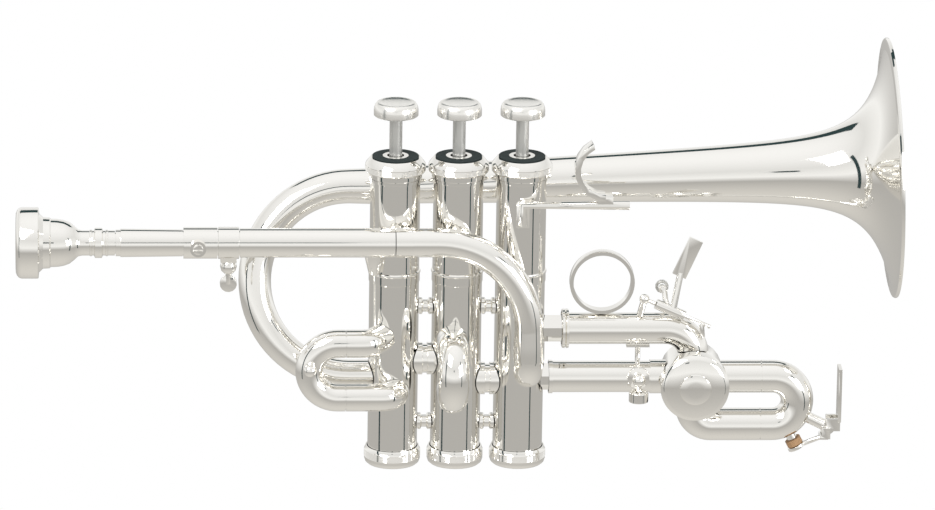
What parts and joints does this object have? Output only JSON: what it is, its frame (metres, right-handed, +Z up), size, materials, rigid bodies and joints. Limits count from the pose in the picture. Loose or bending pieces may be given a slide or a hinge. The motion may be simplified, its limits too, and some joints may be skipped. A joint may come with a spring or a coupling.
{
  "type": "piccolo trumpet",
  "caption": "Compact silver-plated piccolo trumpet with piston valves, a rotary fourth valve, pull slides, finger ring, pinky hook and mouthpiece.",
  "frame": {"origin": "on the middle valve's axis, where the hand holds the valve casings", "axes": "+X to the bell, +Z up the valves, -Y the leadpipe side"},
  "size_m": [0.3419, 0.1026, 0.1645],
  "materials": {
    "silver_plate": "polished silver plate",
    "cork": "cork",
    "satin_steel": "satin"
  },
  "bodies": {
    "frame": {"bell": "silver_plate", "bottom_cap_1": "silver_plate", "bottom_cap_2": "silver_plate", "bottom_cap_3": "silver_plate", "clamp_sleeve": "silver_plate", "crook": "silver_plate", "crossover_1_2": "silver_plate", "crossover_2_3": "silver_plate", "first_lower_leg": "silver_plate", "first_upper_leg": "silver_plate", "leadpipe_brace": "silver_plate", "lower_brace_1_2": "silver_plate", "lower_brace_2_3": "silver_plate", "lyre_collar": "silver_plate", "main_tube": "silver_plate", "pinky_hook": "silver_plate", "third_lower_leg": "silver_plate", "third_upper_leg": "silver_plate", "top_cap_1": "silver_plate", "top_cap_2": "silver_plate", "top_cap_3": "silver_plate", "upper_brace_1_2": "silver_plate", "upper_brace_2_3": "silver_plate", "valve_casing_1": "silver_plate", "valve_casing_2": "silver_plate", "valve_casing_3": "silver_plate", "valve_guide_1": "satin_steel", "valve_guide_2": "satin_steel", "valve_guide_3": "satin_steel", "valve_spring_1": "satin_steel", "valve_spring_2": "satin_steel", "valve_spring_3": "satin_steel"},
    "valve_1": {"piston_1": "satin_steel", "finger_button_1": "silver_plate"},
    "valve_2": {"piston_2": "satin_steel", "finger_button_2": "silver_plate"},
    "valve_3": {"piston_3": "satin_steel", "finger_button_3": "silver_plate"},
    "leadpipe_slide": {"leadpipe": "silver_plate"},
    "mouthpiece_body": {"mouthpiece": "silver_plate"},
    "first_slide": {"first_slide_bow": "silver_plate"},
    "second_slide": {"second_slide_bow": "silver_plate"},
    "third_slide": {"third_upper_tube": "silver_plate", "third_lower_tube": "silver_plate", "finger_ring": "silver_plate", "rotor_casing": "silver_plate", "rotor_cap": "silver_plate", "fourth_upper_leg": "silver_plate", "fourth_lower_leg": "silver_plate", "hinge_rod": "silver_plate", "slide_lock_rod": "silver_plate"},
    "fourth_slide": {"fourth_slide_bow": "silver_plate"},
    "lever": {"fourth_lever": "silver_plate"},
    "link": {"lever_link": "satin_steel"},
    "rotor_body": {"rotor": "satin_steel"},
    "clamp_screw_body": {"clamp_screw": "silver_plate"},
    "lyre_screw_body": {"lyre_screw": "silver_plate"},
    "lock_nut_body": {"lock_nut": "silver_plate"},
    "water_key_body": {"water_key": "silver_plate", "water_key_cork": "cork"}
  },
  "joints": [
    {"name": "valve_1_stroke", "type": "slide", "parent": "frame", "child": "valve_1", "axis": [0, 0, -1], "range_m": [0, 0.014], "stiffness_N_per_m": 120, "springref_m": -0.012, "deforming": ["valve_spring_1"]},
    {"name": "valve_2_stroke", "type": "slide", "parent": "frame", "child": "valve_2", "axis": [0, 0, -1], "range_m": [0, 0.014], "stiffness_N_per_m": 120, "springref_m": -0.012, "deforming": ["valve_spring_2"]},
    {"name": "valve_3_stroke", "type": "slide", "parent": "frame", "child": "valve_3", "axis": [0, 0, -1], "range_m": [0, 0.014], "stiffness_N_per_m": 120, "springref_m": -0.012, "deforming": ["valve_spring_3"]},
    {"name": "leadpipe_pull", "type": "slide", "parent": "frame", "child": "leadpipe_slide", "axis": [-1, 0, 0], "range_m": [0, 0.012]},
    {"name": "mouthpiece_pull", "type": "slide", "parent": "leadpipe_slide", "child": "mouthpiece_body", "axis": [-1, 0, 0], "range_m": [0, 0.025]},
    {"name": "first_slide_pull", "type": "slide", "parent": "frame", "child": "first_slide", "axis": [-1, 0, 0], "range_m": [0, 0.004]},
    {"name": "second_slide_pull", "type": "slide", "parent": "frame", "child": "second_slide", "axis": [0, -1, 0], "range_m": [0, 0.004]},
    {"name": "third_slide_pull", "type": "slide", "parent": "frame", "child": "third_slide", "axis": [1, 0, 0], "range_m": [0, 0.015]},
    {"name": "fourth_slide_pull", "type": "slide", "parent": "third_slide", "child": "fourth_slide", "axis": [1, 0, 0], "range_m": [0, 0.01]},
    {"name": "lever_press", "type": "hinge", "parent": "third_slide", "child": "lever", "pos_m": [0.0726, -0.004, 0.0061], "axis": [-0.9147, 0, 0.4042], "range_deg": [0, 22.2], "stiffness_Nm_per_rad": 0.05, "springref_deg": -17.19},
    {"name": "link_turn", "type": "hinge", "parent": "lever", "child": "link", "pos_m": [0.0807, 0.0141, 0.0055], "axis": [0.9147, 0, -0.4042], "range_deg": [0, 22.2]},
    {"name": "rotor_turn", "type": "hinge", "parent": "third_slide", "child": "rotor_body", "pos_m": [0.0923, 0, -0.0268], "axis": [0, -1, 0], "range_deg": [0, 90.1]},
    {"name": "clamp_screw_turn", "type": "hinge", "parent": "frame", "child": "clamp_screw_body", "pos_m": [-0.1007, -0.017, 0.0329], "axis": [0, 1, 0], "continuous": true},
    {"name": "lyre_screw_turn", "type": "hinge", "parent": "frame", "child": "lyre_screw_body", "pos_m": [-0.0889, -0.017, 0.0236], "axis": [0, 0, 1], "continuous": true},
    {"name": "lock_nut_turn", "type": "hinge", "parent": "third_slide", "child": "lock_nut_body", "pos_m": [0.0707, -0.0105, -0.031], "axis": [0, 0, 1], "continuous": true},
    {"name": "water_key_press", "type": "hinge", "parent": "fourth_slide", "child": "water_key_body", "pos_m": [0.1457, 0, -0.04745], "axis": [0, -1, 0], "range_deg": [0, 12], "stiffness_Nm_per_rad": 0.03, "springref_deg": -17.19}
  ],
  "couplings": [
    {"joint": "link_turn", "follows": "lever_press", "ratio": 1},
    {"joint": "rotor_turn", "follows": "lever_press", "ratio": 4.054}
  ]
}
